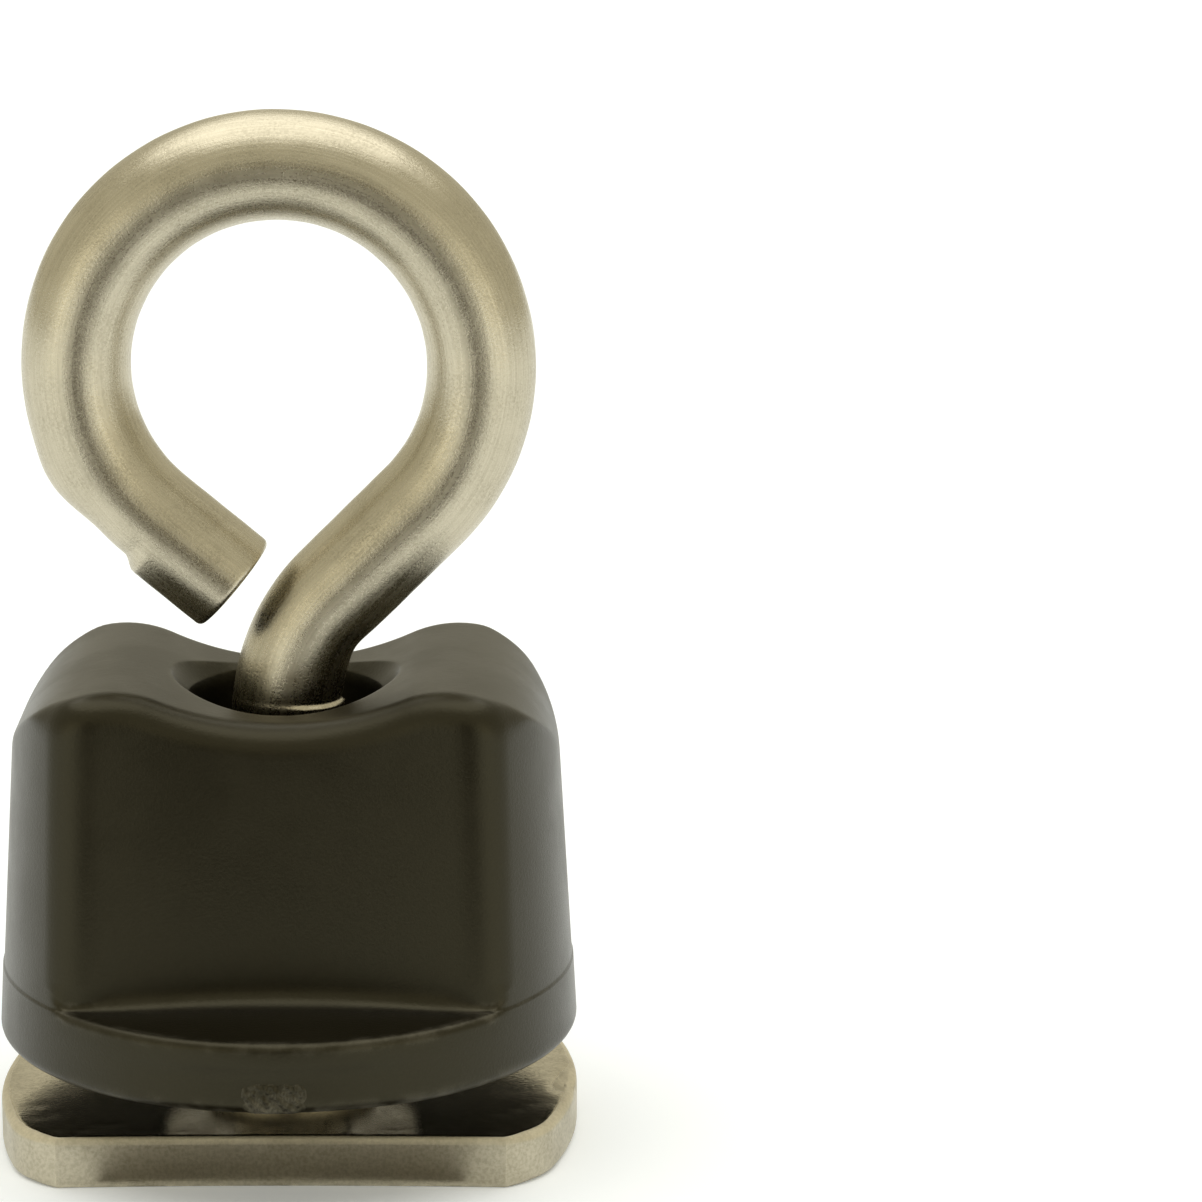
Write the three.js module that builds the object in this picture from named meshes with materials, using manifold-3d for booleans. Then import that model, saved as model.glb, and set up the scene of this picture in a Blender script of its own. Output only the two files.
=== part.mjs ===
// Track-mount tie-down eye: an open eye bent from round rod stands on a plate that slides in a
// T-slot rail, and a moulded knob screws down the rod's threaded shank to clamp the rail's lips.
// Millimetres, +Z up. The origin is on the shank's axis, at the underside of the plate.
import * as THREE from 'three';
import { mergeVertices } from 'three/addons/utils/BufferGeometryUtils.js';
import Module from 'manifold-3d';

const wasm = await Module();
wasm.setup();

// ---- Driving dimensions ----------------------------------------------------------------------

const RUNNING_GAP = 0.15;
const SEATED_GAP = 0.3;

const plate = {
  length: 31.75,
  width: 20.8,
  thickness: 2.87,
  endRadius: 24,
  cornerRadius: 4.5,
  cornerStart: 12.0,
  waist: 0.25,
};

const thread = { majorRadius: 3.175, top: 24.4, endChamfer: 0.3 };

const eye = {
  rodRadius: 2.93,
  ringRadius: 10.81,
  centreX: -0.15,
  centreZ: 42.65,
  neckSlope: THREE.MathUtils.degToRad(45),
  tailSlope: THREE.MathUtils.degToRad(40),
  neckRadius: 10,
  tailLength: 5.75,
};

const washer = { outerRadius: 5.0, thickness: 1.5, restGap: 0.1 };

const knob = {
  bottom: 6.05,
  skirtRadius: 15.87,
  skirtTopRadius: 15.65,
  skirtHeight: 3.85,
  sideTop: 20.65,
  sideTopRadius: 15.0,
  shoulderRadius: 6,
  saddleRise: 4.15,
  scoopRadius: 50,
  scoopLedgeDepth: 9.25,
  scoopTopDepth: 8.3,
  boreRadius: 5.27,
  bottomEdge: 0.5,
};

const insert = {
  acrossFlats: 11.1,
  height: 9.5,
  flangeRadius: 7.0,
  flangeHeight: 1.2,
};

// ---- Worked-out values -----------------------------------------------------------------------

const FULL_TURN = Math.PI * 2;
const ROUND_SIDES = 48;
const KNOB_SIDES = 96;
const SCOOP_SIDES = 160;
const HALF_ROD_SIDES = 12;
const ROD_STEPS = 72;
const ARC_STEPS = 12;
const OUTLINE_STEPS = 6;
const BISECTION_STEPS = 40;
const WELD_DISTANCE = 1e-4;
const CUT_MARGIN = 1;
// The shoulders' arcs begin just inside the tapered sides, so that the two don't touch along a line.
const SHOULDER_START = 0.06;

const plateTop = plate.thickness;
const washerBottom = plateTop + washer.restGap;
const ledgeZ = knob.bottom + knob.skirtHeight;
const hornX = knob.sideTopRadius - knob.shoulderRadius;
const hornZ = knob.sideTop + knob.shoulderRadius;
const saddleZ = knob.sideTop + knob.saddleRise;
const insertTop = knob.bottom + insert.height;

// ---- Materials -------------------------------------------------------------------------------

const stainless = new THREE.MeshStandardMaterial({ color: 0xa69b82, roughness: 0.38, metalness: 1 });
const plateSteel = new THREE.MeshStandardMaterial({ color: 0xa89c80, roughness: 0.45, metalness: 1 });
const brightSteel = new THREE.MeshStandardMaterial({ color: 0xb8b09c, roughness: 0.3, metalness: 1 });
const blackPlastic = new THREE.MeshStandardMaterial({ color: 0x14130f, roughness: 0.42, metalness: 0 });

// ---- Solid helpers ---------------------------------------------------------------------------

function solidOf(geometry) {
  const bare = geometry.clone();
  bare.deleteAttribute('normal');
  bare.deleteAttribute('uv');
  const merged = mergeVertices(bare, WELD_DISTANCE);
  return new wasm.Manifold(new wasm.Mesh({
    numProp: 3,
    vertProperties: new Float32Array(merged.attributes.position.array),
    triVerts: new Uint32Array(merged.index.array),
  }));
}

function meshOf(name, solid, material) {
  const { vertProperties, triVerts } = solid.getMesh();
  const geometry = new THREE.BufferGeometry();
  geometry.setAttribute('position', new THREE.BufferAttribute(new Float32Array(vertProperties), 3));
  geometry.setIndex(new THREE.BufferAttribute(new Uint32Array(triVerts), 1));
  geometry.computeVertexNormals();
  const mesh = new THREE.Mesh(geometry, material);
  mesh.name = name;
  return mesh;
}

// An upright cylinder, or a prism when it has few sides, from one height to another.
function upright(bottomRadius, topRadius, bottom, top, sides = ROUND_SIDES) {
  const geometry = new THREE.CylinderGeometry(topRadius, bottomRadius, top - bottom, sides);
  geometry.rotateX(Math.PI / 2);
  geometry.translate(0, 0, (top + bottom) / 2);
  return solidOf(geometry);
}

// A closed profile of [radius, height] points turned about the Z axis.
function turned(points, sides = ROUND_SIDES) {
  const profile = points.map(([radius, height]) => new THREE.Vector2(radius, height));
  const geometry = new THREE.LatheGeometry(profile, sides);
  geometry.rotateX(Math.PI / 2);
  return solidOf(geometry);
}

// ---- Eye bolt --------------------------------------------------------------------------------

// An arc in the XZ plane; angles run from +X towards +Z.
class UprightArc extends THREE.Curve {
  constructor(centre, radius, from, to) {
    super();
    Object.assign(this, { centre, radius, from, to });
  }

  getPoint(t, target = new THREE.Vector3()) {
    const angle = this.from + (this.to - this.from) * t;
    const x = this.centre.x + this.radius * Math.cos(angle);
    const z = this.centre.z + this.radius * Math.sin(angle);
    return target.set(x, 0, z);
  }
}

// Tail, ring, slanted neck, bend and shank, as one line down the middle of the rod.
function rodCentreLine(shankFoot) {
  const centre = new THREE.Vector3(eye.centreX, 0, eye.centreZ);
  const tailAngle = Math.PI * 1.5 - eye.tailSlope;
  const neckAngle = eye.neckSlope - Math.PI / 2;
  const ring = new UprightArc(centre, eye.ringRadius, tailAngle, neckAngle);
  const tailEnd = new THREE.Vector3(Math.cos(eye.tailSlope), 0, -Math.sin(eye.tailSlope));
  tailEnd.multiplyScalar(eye.tailLength).add(ring.getPoint(0));
  const neckStart = ring.getPoint(1);
  const bendX = eye.neckRadius * (1 - Math.sin(eye.neckSlope));
  const slantDrop = (neckStart.x - bendX) * Math.tan(eye.neckSlope);
  const bendStart = new THREE.Vector3(bendX, 0, neckStart.z - slantDrop);
  const bendZ = bendStart.z - eye.neckRadius * Math.cos(eye.neckSlope);
  const bendCentre = new THREE.Vector3(eye.neckRadius, 0, bendZ);
  const bend = new UprightArc(bendCentre, eye.neckRadius, Math.PI / 2 + eye.neckSlope, Math.PI);
  const line = new THREE.CurvePath();
  line.add(new THREE.LineCurve3(tailEnd, ring.getPoint(0)));
  line.add(ring);
  line.add(new THREE.LineCurve3(neckStart, bendStart));
  line.add(bend);
  line.add(new THREE.LineCurve3(bend.getPoint(1), new THREE.Vector3(0, 0, shankFoot)));
  return line;
}

function eyeBolt() {
  const shankFoot = SEATED_GAP;
  const section = new THREE.Shape();
  section.absarc(0, 0, eye.rodRadius, 0, FULL_TURN);
  const geometry = new THREE.ExtrudeGeometry(section, {
    extrudePath: rodCentreLine(shankFoot),
    steps: ROD_STEPS,
    curveSegments: HALF_ROD_SIDES,
  });
  const shank = turned([
    [0, shankFoot],
    [thread.majorRadius - thread.endChamfer, shankFoot],
    [thread.majorRadius, shankFoot + thread.endChamfer],
    [thread.majorRadius, thread.top - thread.endChamfer],
    [thread.majorRadius - thread.endChamfer, thread.top],
    [0, thread.top],
  ]);
  return meshOf('eye_bolt', solidOf(geometry).add(shank), stainless);
}

// ---- Track plate -----------------------------------------------------------------------------

// One quarter of the outline, from the middle of an end to the middle of a long side.
function plateQuarter() {
  const endCentreX = plate.length / 2 - plate.endRadius;
  const reach = plate.endRadius - plate.cornerRadius;
  const halfWidth = plate.width / 2;
  const toCorner = (angle) => Math.hypot(
    endCentreX + reach * Math.cos(angle) - plate.cornerStart,
    reach * Math.sin(angle) - halfWidth,
  ) - plate.cornerRadius;
  let low = 0;
  let high = Math.atan2(halfWidth, plate.cornerStart - endCentreX);
  for (let step = 0; step < BISECTION_STEPS; step += 1) {
    const middle = (low + high) / 2;
    if (toCorner(middle) > 0) low = middle;
    else high = middle;
  }
  const turn = (low + high) / 2;
  const cornerX = endCentreX + reach * Math.cos(turn);
  const cornerY = reach * Math.sin(turn);
  const cornerEnd = Math.atan2(halfWidth - cornerY, plate.cornerStart - cornerX);
  const points = [];
  for (let step = 0; step < OUTLINE_STEPS; step += 1) {
    const angle = turn * step / OUTLINE_STEPS;
    points.push([endCentreX + plate.endRadius * Math.cos(angle), plate.endRadius * Math.sin(angle)]);
  }
  for (let step = 0; step <= OUTLINE_STEPS; step += 1) {
    const angle = turn + (cornerEnd - turn) * step / OUTLINE_STEPS;
    points.push([
      cornerX + plate.cornerRadius * Math.cos(angle),
      cornerY + plate.cornerRadius * Math.sin(angle),
    ]);
  }
  for (let step = 1; step <= OUTLINE_STEPS; step += 1) {
    const share = step / OUTLINE_STEPS;
    points.push([
      plate.cornerStart * (1 - share),
      halfWidth - plate.waist * (1 - (1 - share) ** 2),
    ]);
  }
  return points;
}

function trackPlate() {
  const quarter = plateQuarter();
  const backLeft = quarter.slice(0, -1).reverse().map(([x, y]) => [-x, y]);
  const back = [...quarter, ...backLeft];
  const front = back.slice(1, -1).reverse().map(([x, y]) => [x, -y]);
  const outline = new THREE.Shape([...back, ...front].map(([x, y]) => new THREE.Vector2(x, y)));
  const geometry = new THREE.ExtrudeGeometry(outline, { depth: plate.thickness, bevelEnabled: false });
  const holeRadius = thread.majorRadius + SEATED_GAP;
  const hole = upright(holeRadius, holeRadius, -CUT_MARGIN, plateTop + CUT_MARGIN);
  return meshOf('track_plate', solidOf(geometry).subtract(hole), plateSteel);
}

// ---- Washer ----------------------------------------------------------------------------------

function spacerWasher() {
  const inner = thread.majorRadius + RUNNING_GAP;
  const top = washerBottom + washer.thickness;
  const ring = turned([
    [inner, washerBottom],
    [washer.outerRadius, washerBottom],
    [washer.outerRadius, top],
    [inner, top],
    [inner, washerBottom],
  ]);
  return meshOf('spacer_washer', ring, brightSteel);
}

// ---- Knob ------------------------------------------------------------------------------------

// The skirt and the tapered sides as one round body, taller than the finished top.
function knobBlank() {
  const blankTop = hornZ + CUT_MARGIN;
  const sideTaper = (knob.skirtTopRadius - knob.sideTopRadius) / (knob.sideTop - ledgeZ);
  return turned([
    [0, knob.bottom],
    [knob.skirtRadius - knob.bottomEdge, knob.bottom],
    [knob.skirtRadius, knob.bottom + knob.bottomEdge],
    [knob.skirtTopRadius, ledgeZ],
    [knob.skirtTopRadius - sideTaper * (blankTop - ledgeZ), blankTop],
    [0, blankTop],
  ], KNOB_SIDES);
}

// The knob seen from the front: two round shoulders that roll over into a hollow saddle.
function knobFrontOutline() {
  const outline = new THREE.Shape();
  const overhang = knob.skirtRadius + CUT_MARGIN;
  const shoulder = knob.shoulderRadius;
  const saddleRadius = (knob.saddleRise ** 2 + hornX ** 2 - shoulder ** 2)
    / (2 * (shoulder - knob.saddleRise));
  const saddleCentreZ = saddleZ + saddleRadius;
  const meetAngle = Math.atan2(saddleCentreZ - knob.sideTop, hornX);
  outline.moveTo(-overhang, knob.bottom - CUT_MARGIN);
  outline.lineTo(overhang, knob.bottom - CUT_MARGIN);
  outline.lineTo(overhang, knob.sideTop);
  outline.absarc(hornX, knob.sideTop, shoulder, SHOULDER_START, Math.PI - meetAngle);
  outline.absarc(0, saddleCentreZ, saddleRadius, -meetAngle, meetAngle - Math.PI, true);
  outline.absarc(-hornX, knob.sideTop, shoulder, meetAngle, Math.PI - SHOULDER_START);
  outline.lineTo(-overhang, knob.sideTop);
  return outline;
}

// The hollowed grip face: a large leaning cylinder that stops at the ledge.
function gripScoop(side) {
  const rise = saddleZ - ledgeZ;
  const lean = Math.atan2(knob.scoopLedgeDepth - knob.scoopTopDepth, rise);
  const length = 2 * rise;
  const geometry = new THREE.CylinderGeometry(knob.scoopRadius, knob.scoopRadius, length, SCOOP_SIDES);
  geometry.rotateX(Math.PI / 2);
  geometry.translate(0, knob.scoopRadius, length / 2);
  geometry.rotateX(lean);
  geometry.translate(0, knob.scoopLedgeDepth, ledgeZ);
  if (side < 0) geometry.rotateZ(Math.PI);
  const above = new THREE.BoxGeometry(4 * knob.skirtRadius, 4 * knob.skirtRadius, length);
  above.translate(0, 0, ledgeZ + length / 2);
  return solidOf(geometry).intersect(solidOf(above));
}

function insertShape(grow) {
  const hexRadius = (insert.acrossFlats / 2 + grow) / Math.cos(Math.PI / 6);
  const hex = upright(hexRadius, hexRadius, knob.bottom, insertTop + grow, 6);
  const flangeRadius = insert.flangeRadius + grow;
  return hex.add(upright(flangeRadius, flangeRadius, knob.bottom, knob.bottom + insert.flangeHeight + grow));
}

function knobBody() {
  const front = new THREE.ExtrudeGeometry(knobFrontOutline(), {
    depth: 4 * knob.skirtRadius,
    bevelEnabled: false,
    curveSegments: ARC_STEPS,
  });
  front.rotateX(Math.PI / 2);
  front.translate(0, 2 * knob.skirtRadius, 0);
  const bore = upright(knob.boreRadius, knob.boreRadius, insertTop - CUT_MARGIN, hornZ + CUT_MARGIN);
  const foot = insertShape(SEATED_GAP);
  const belowFoot = insert.flangeRadius + SEATED_GAP;
  const mouth = upright(belowFoot, belowFoot, knob.bottom - CUT_MARGIN, knob.bottom + CUT_MARGIN);
  let body = knobBlank().intersect(solidOf(front));
  for (const side of [1, -1]) {
    body = body.subtract(gripScoop(side));
  }
  for (const cut of [bore, foot, mouth]) {
    body = body.subtract(cut);
  }
  return meshOf('knob_body', body, blackPlastic);
}

function knobInsert() {
  const boreRadius = thread.majorRadius + RUNNING_GAP;
  const bore = upright(boreRadius, boreRadius, knob.bottom - CUT_MARGIN, insertTop + CUT_MARGIN);
  return meshOf('knob_insert', insertShape(0).subtract(bore), brightSteel);
}

// ---- Assembly --------------------------------------------------------------------------------

const group = new THREE.Group();

const fixed = new THREE.Group();
fixed.add(eyeBolt(), trackPlate());

const screwed = new THREE.Group();
screwed.add(knobBody(), knobInsert());

group.add(fixed, spacerWasher(), screwed);

export default group;
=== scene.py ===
"""Rail-mount tie-down eye: finished surfaces, materials, floor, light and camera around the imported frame.

Shapes are worked out in millimetres in the part's own frame and turned into metres as each mesh is made.
"""

import math

import bpy
import numpy as np
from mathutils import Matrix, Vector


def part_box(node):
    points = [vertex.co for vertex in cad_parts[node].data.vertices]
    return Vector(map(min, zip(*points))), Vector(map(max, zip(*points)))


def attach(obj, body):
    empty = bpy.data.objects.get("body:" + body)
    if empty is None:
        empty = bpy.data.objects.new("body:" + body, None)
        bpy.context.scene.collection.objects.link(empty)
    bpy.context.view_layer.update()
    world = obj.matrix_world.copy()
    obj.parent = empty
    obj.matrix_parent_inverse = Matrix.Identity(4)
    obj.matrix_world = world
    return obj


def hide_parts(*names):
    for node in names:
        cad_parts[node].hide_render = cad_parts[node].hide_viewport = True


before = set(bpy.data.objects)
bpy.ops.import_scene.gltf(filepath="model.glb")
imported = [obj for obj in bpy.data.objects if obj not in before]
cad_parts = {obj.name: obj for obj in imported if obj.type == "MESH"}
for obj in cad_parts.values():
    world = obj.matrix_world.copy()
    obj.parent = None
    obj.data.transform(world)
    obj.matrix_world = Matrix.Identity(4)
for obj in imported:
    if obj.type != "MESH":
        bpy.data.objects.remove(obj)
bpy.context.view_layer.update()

MM = 0.001
FULL_TURN = 2 * math.pi
SEED = 7

# ---- Driving dimensions, in millimetres ------------------------------------------------------

PLATE_END_RADIUS = 24.0
PLATE_CORNER_RADIUS = 4.5
PLATE_CORNER_START = 12.0
PLATE_WAIST = 0.25
PLATE_END_ROUNDING = 0.6
PLATE_SIDE_ROUNDING = 0.3
PLATE_FOOT_END_ROUNDING = 0.45
PLATE_FOOT_SIDE_ROUNDING = 0.18
PLATE_HOLE_CLEARANCE = 0.02
CORNER_HOLD = 0.04
CREASE_ANGLE = math.radians(14)

ROD_RADIUS = 2.93
RING_RADIUS = 10.81
RING_CENTRE_X = -0.15
RING_CENTRE_Z = 42.65
NECK_SLOPE = math.radians(45)
TAIL_SLOPE = math.radians(40)
NECK_BEND_RADIUS = 10.0
TAIL_LENGTH = 5.75

THREAD_MAJOR_RADIUS = 3.175
THREAD_MINOR_RADIUS = 2.45
THREAD_PITCH = 1.27
THREAD_TOP = 25.05
THREAD_LEAD = 0.6
THREAD_START_TURN = 0.1
SHANK_FOOT = 0.25
SHANK_FOOT_TAPER = 0.5

# Distances along the rod from its cut tail, and how deep each mark goes.
CUT_EDGE_LENGTH = 0.35
CUT_EDGE_DROP = 0.3
TAIL_FLAT_START = (4.7, 5.7)
TAIL_FLAT_END = (7.2, 9.9)
TAIL_FLAT_DEPTH = 0.55
TAIL_SWELLING = 10.6
TAIL_SWELLING_SPREAD = 1.1
TAIL_SWELLING_HEIGHT = 0.12
NECK_HOLLOW = 66.5
NECK_HOLLOW_SPREAD = 1.6
NECK_HOLLOW_DEPTH = 0.2
ROLLING_MARK_DEPTH = 0.015
ROLLING_MARK_LENGTH = 7.0

# How the thread's first turn comes out of the plain rod: spans of a turn, and of depth below its top.
FAINT_THREAD = 0.1
FAINT_THREAD_END = (0.72, 0.92)
SECOND_TURN = (0.7, 1.2)
CREST_RISE = (0.0, 0.3)
ROOT_DEEPENS = (0.4, 1.8)

SKIRT_TOP_RADIUS = 15.65
SKIRT_HEIGHT = 3.85
SIDE_TOP = 20.65
SIDE_TOP_RADIUS = 15.0
SHOULDER_RADIUS = 6.0
SADDLE_RISE = 4.15
SCOOP_RADIUS = 50.0
SCOOP_LEDGE_DEPTH = 9.25
SCOOP_TOP_DEPTH = 8.3
LIP_RADIUS = 1.55
BORE_RADIUS = 5.27
SINK_Z = 24.72
SINK_SLOPE = 1.5
SKIRT_STEP = 0.07
SKIRT_FOOT_ROUNDING = 0.6
LEDGE_EDGE_ROUNDING = 0.5
LEDGE_FOOT_ROUNDING = 1.1
SHOULDER_START = 0.06
GATE_STUB_HEIGHT = 0.16
GATE_STUB_HALF_WIDTH = 1.75
GATE_STUB_RANGE = (0.12, 1.75)

INSERT_FLANGE_RADIUS = 7.0
INSERT_FLANGE_HEIGHT = 1.2
INSERT_HEX_FLATS = 11.1

# ---- Stage, light and camera, in metres ------------------------------------------------------

SOFTBOX_SIZE = (0.16, 0.12)
SOFTBOX_PLACE = (0.19, -0.22, 0.065)
SOFTBOX_POWER = 0.03
SOFTBOX_COLOUR = (1.0, 0.93, 0.72)
FLOOR_SIZE = 6.0
FLOOR_COLOUR = (0.90, 0.94, 1.0, 1)
FLOOR_GLOW = 0.14
FLAG_NEAR = (0.045, 0.08)
FLAG_FAR = (0.055, 0.30)
FLAG_TOP = 0.115
FOOT_FLAG = (0.0098, 0.0106, 0.022)
TENT_COLOUR = (1.0, 0.94, 0.73, 1)
TENT_STRENGTH = 0.68
DIFFUSER_SPREAD = math.radians(75)
DIFFUSER_STRENGTH = 1.55
DIFFUSER_COLOUR = (1.0, 1.0, 1.0)
DIFFUSER_TILT = (math.radians(-8), 0, 0)

CAMERA_AZIMUTH = math.radians(3.34)
CAMERA_DISTANCE = 0.2311
CAMERA_HEIGHT = 0.0860
CAMERA_AIM = math.radians(-0.84)
CAMERA_PITCH = math.radians(13.70)
CAMERA_ROLL = math.radians(-0.25)
CAMERA_LENS = 131.4

# ---- Places taken from the frame -------------------------------------------------------------


def node_box(node):
    """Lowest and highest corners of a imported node, in millimetres."""
    low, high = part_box(node)
    return np.array(low) / MM, np.array(high) / MM


_, plate_high = node_box("track_plate")
knob_low, knob_high = node_box("knob_body")
washer_low, washer_high = node_box("spacer_washer")
_, insert_high = node_box("knob_insert")

PLATE_HALF_LENGTH = plate_high[0]
PLATE_HALF_WIDTH = plate_high[1]
PLATE_TOP = plate_high[2]
KNOB_BOTTOM = knob_low[2]
SKIRT_RADIUS = knob_high[0]
LEDGE_Z = KNOB_BOTTOM + SKIRT_HEIGHT
SADDLE_Z = SIDE_TOP + SADDLE_RISE
HORN_X = SIDE_TOP_RADIUS - SHOULDER_RADIUS
INSERT_TOP = insert_high[2]

# ---- Mesh helpers ----------------------------------------------------------------------------


def smooth_step(value, start, end):
    share = np.clip((value - start) / (end - start), 0.0, 1.0)
    return share * share * (3 - 2 * share)


def mix(a, b, share):
    return a + (b - a) * share


def circle(sides):
    return np.linspace(0.0, FULL_TURN, sides, endpoint=False)


def ring(radius, height, angles):
    """One ring of points about the Z axis; radius and height may vary with the angle."""
    radius = np.broadcast_to(radius, angles.shape)
    height = np.broadcast_to(height, angles.shape)
    return np.stack([radius * np.cos(angles), radius * np.sin(angles), height], axis=1)


def unroll(mesh, sides, girth, along):
    """A flat map of a rod's skin in millimetres: distance round it and distance along it."""
    layer = mesh.uv_layers.new(name="rod")
    for polygon in mesh.polygons:
        corners = [mesh.loops[index].vertex_index for index in polygon.loop_indices]
        last_strip = max(corner % sides for corner in corners) == sides - 1
        for index, corner in zip(polygon.loop_indices, corners):
            side = corner % sides
            if last_strip and side == 0:
                side = sides
            layer.data[index].uv = (side / sides * girth, along[corner // sides])


def skin(name, rings, hollow, material, wrap=None, crease_over=None):
    """A closed skin over rings of points. A hollow piece joins its last ring to its first;
    a solid one is capped at both ends. wrap gives a rod's girth and each ring's distance along it.
    Edges that turn by more than crease_over are left as creases."""
    rings = np.asarray(rings, float)
    count, sides, _ = rings.shape
    points = rings.reshape(-1, 3) * MM
    faces = []
    for row in range(count if hollow else count - 1):
        here = row * sides
        there = ((row + 1) % count) * sides
        for side in range(sides):
            after = (side + 1) % sides
            faces.append((here + side, here + after, there + after, there + side))
    if not hollow:
        last = (count - 1) * sides
        faces.append(tuple(range(sides - 1, -1, -1)))
        faces.append(tuple(range(last, last + sides)))
    mesh = bpy.data.meshes.new(name)
    mesh.from_pydata(points.tolist(), [], faces)
    mesh.validate()
    if wrap is not None:
        unroll(mesh, sides, *wrap)
    mesh.polygons.foreach_set("use_smooth", [True] * len(mesh.polygons))
    if crease_over is not None:
        mesh.set_sharp_from_angle(angle=crease_over)
    mesh.materials.append(material)
    piece = bpy.data.objects.new(name, mesh)
    bpy.context.scene.collection.objects.link(piece)
    return piece


def wave_noise(x, y, seed, scale, layers=4):
    """Smooth repeatable bumps between about -1 and 1, from a few crossed waves."""
    source = np.random.default_rng(seed)
    total = np.zeros(np.broadcast(x, y).shape)
    for layer in range(layers):
        turn = source.uniform(0, FULL_TURN, 2)
        pace = (1 + 0.7 * layer) / scale
        along = x * math.cos(turn[0]) + y * math.sin(turn[0])
        total += np.sin(along * pace * FULL_TURN + turn[1]) / layers
    return total


def arc_points(centre, radius, start, end, steps):
    """Points on an arc in a profile, both ends included."""
    turns = np.linspace(start, end, steps)
    return [(centre[0] + radius * math.cos(t), centre[1] + radius * math.sin(t)) for t in turns]


def turned_rings(profile, angles):
    return [ring(radius, height, angles) for radius, height in profile]


# ---- Eye bolt --------------------------------------------------------------------------------

ROD_SIDES = 72
THREAD_STEP = 0.08
BEND_STEP = 0.25


def rod_line():
    """Stations down the middle of the rod from the cut tail to the foot of the shank:
    each one's place (x, z) and its distance along the rod."""
    centre = np.array([RING_CENTRE_X, RING_CENTRE_Z])
    tail_turn = math.pi * 1.5 - TAIL_SLOPE
    neck_turn = NECK_SLOPE - math.pi / 2
    tail_join = centre + RING_RADIUS * np.array([math.cos(tail_turn), math.sin(tail_turn)])
    neck_join = centre + RING_RADIUS * np.array([math.cos(neck_turn), math.sin(neck_turn)])
    tail_end = tail_join + TAIL_LENGTH * np.array([math.cos(TAIL_SLOPE), -math.sin(TAIL_SLOPE)])
    bend_x = NECK_BEND_RADIUS * (1 - math.sin(NECK_SLOPE))
    bend_top = np.array([bend_x, neck_join[1] - (neck_join[0] - bend_x) * math.tan(NECK_SLOPE)])
    bend_foot_z = bend_top[1] - NECK_BEND_RADIUS * math.cos(NECK_SLOPE)
    places = []

    def straight(start, end):
        steps = int(np.linalg.norm(end - start) / BEND_STEP)
        for share in np.linspace(0, 1, steps, endpoint=False):
            places.append(mix(start, end, share))

    def bend(middle, radius, start, end):
        steps = int(abs(end - start) * radius / BEND_STEP)
        for turn in np.linspace(start, end, steps, endpoint=False):
            places.append(middle + radius * np.array([math.cos(turn), math.sin(turn)]))

    straight(tail_end, tail_join)
    bend(centre, RING_RADIUS, tail_turn, neck_turn)
    straight(neck_join, bend_top)
    bend_middle = np.array([NECK_BEND_RADIUS, bend_foot_z])
    bend(bend_middle, NECK_BEND_RADIUS, math.pi / 2 + NECK_SLOPE, math.pi)
    straight(np.array([0.0, bend_foot_z]), np.array([0.0, SHANK_FOOT]))
    places = np.array(places)
    steps = np.linalg.norm(np.diff(places, axis=0), axis=1)
    along = np.concatenate([[0.0], np.cumsum(steps)])
    return places, along


def refine_line(places, along):
    """Closer stations along the threaded shank and at the cut tail."""
    length = along[-1]
    thread_start = length - (THREAD_TOP + THREAD_LEAD - places[-1, 1])
    edge_turns = np.linspace(0.3, math.pi / 2, 7)
    tail_fine = np.concatenate([[0.0], CUT_EDGE_LENGTH * (1 - np.cos(edge_turns))])
    middle = np.arange(CUT_EDGE_LENGTH + BEND_STEP, thread_start, BEND_STEP)
    threaded = np.arange(thread_start, length, THREAD_STEP)
    fine = np.concatenate([tail_fine, middle, threaded, [length]])
    x = np.interp(fine, along, places[:, 0])
    z = np.interp(fine, along, places[:, 1])
    return np.stack([x, z], axis=1), fine


def thread_height(phase):
    """Thread form between 0 at the root and 1 at the crest; phase runs 0 to 1 over one pitch."""
    away = np.abs(phase - 0.5) * 2
    return smooth_step(1 - away, 0.2, 0.85)


def bump_along(station, middle, spread):
    """A smooth hump, 1 at its middle, along the rod."""
    return np.exp(-((station - middle) / spread) ** 2)


def rod_radius(station, around):
    """Radius of the plain rod at every station and side, with its bending marks and broken cut edge."""
    marks = wave_noise(station, around * 3, SEED, ROLLING_MARK_LENGTH)
    radius = ROD_RADIUS - ROLLING_MARK_DEPTH * (1 + marks)
    # The bender's stop left a swelling and a flat on the outside of the tail, and a hollow at the neck.
    swelling = TAIL_SWELLING_HEIGHT * bump_along(station, TAIL_SWELLING, TAIL_SWELLING_SPREAD)
    flat = smooth_step(station, *TAIL_FLAT_START) * (1 - smooth_step(station, *TAIL_FLAT_END))
    hollow = NECK_HOLLOW_DEPTH * bump_along(station, NECK_HOLLOW, NECK_HOLLOW_SPREAD)
    facing_out = np.clip(np.cos(around), 0, 1) ** 2
    radius = radius + (swelling - TAIL_FLAT_DEPTH * flat - hollow) * facing_out
    cut = np.clip(station / CUT_EDGE_LENGTH, 0, 1)
    return radius - CUT_EDGE_DROP * (1 - np.sqrt(1 - (1 - cut) ** 2))


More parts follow.
